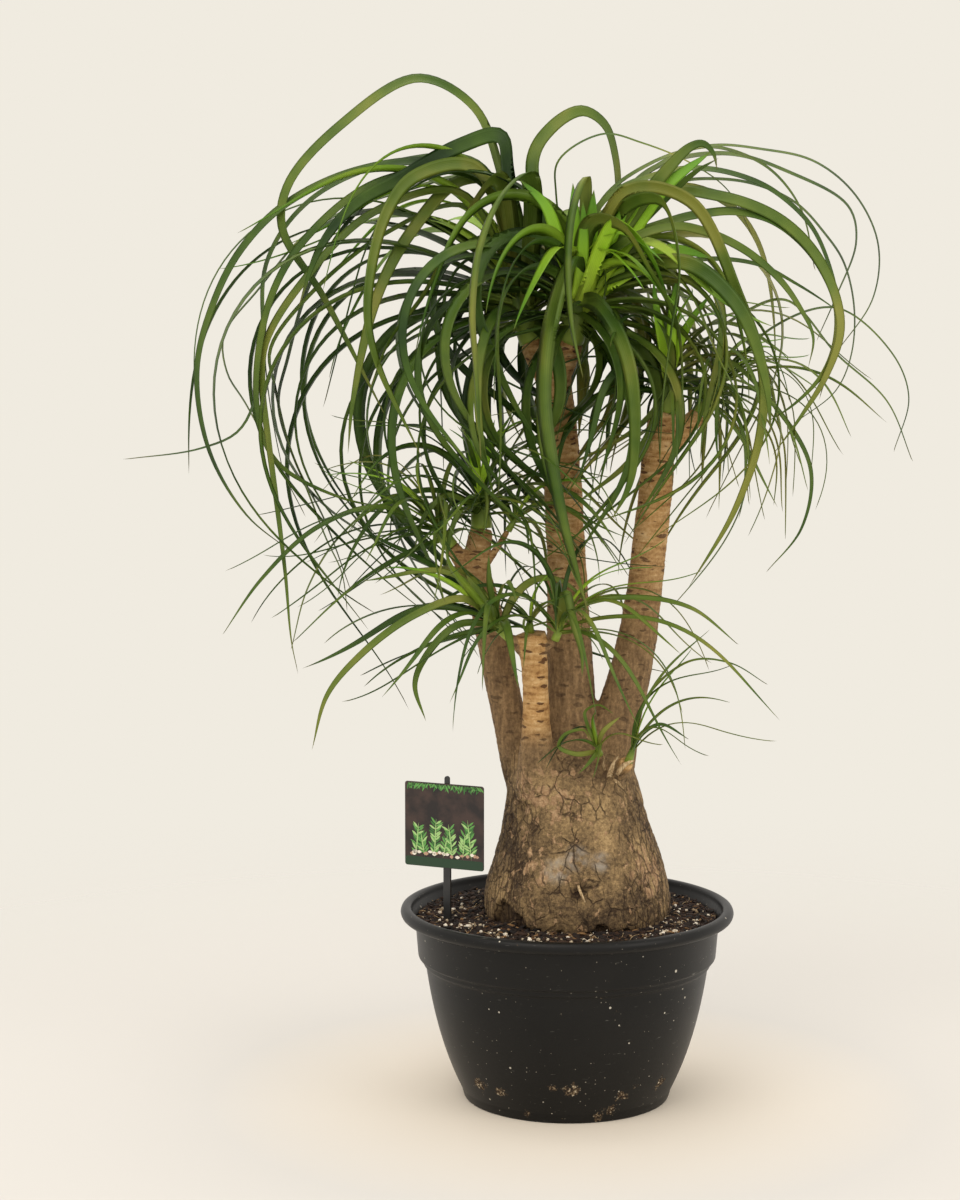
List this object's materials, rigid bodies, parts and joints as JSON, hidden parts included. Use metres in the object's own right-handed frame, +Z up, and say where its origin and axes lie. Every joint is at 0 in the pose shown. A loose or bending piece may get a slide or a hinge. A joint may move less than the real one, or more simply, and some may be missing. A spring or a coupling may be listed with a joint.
{
  "type": "potted ponytail palm",
  "caption": "Multi-trunk ponytail palm with a swollen woody base and arching strap leaves, in a round plastic pan of potting mix with a plant label.",
  "frame": {"origin": "centre of the pot's base, on the surface that the pot stands on", "axes": "+Z up, -Y the front of the plant, +X to the right as seen from the front"},
  "size_m": [0.735, 0.3722, 0.9562],
  "materials": {
    "pot_plastic": "moulded black polypropylene, satin",
    "potting_mix": "damp composted bark with perlite, rough",
    "bark": "grey-brown corky bark with ring scars",
    "label_plastic": "moulded black polystyrene",
    "label_print": "printed polypropylene card, satin",
    "leaf": "waxy green strap leaf, satin"
  },
  "bodies": {
    "root": {"pot": "pot_plastic", "soil": "potting_mix", "trunk": "bark", "label_stake": "label_plastic", "label_card": "label_print", "crown_head": "leaf", "crown_left_head": "leaf", "right_head": "leaf", "right_side_head": "leaf", "left_head": "leaf", "left_outer_head": "leaf", "left_twig_head": "leaf", "stump_left_shoot": "leaf", "stump_middle_shoot": "leaf", "stump_right_shoot": "leaf", "shoulder_front_shoot": "leaf", "shoulder_right_shoot": "leaf"}
  },
  "joints": []
}
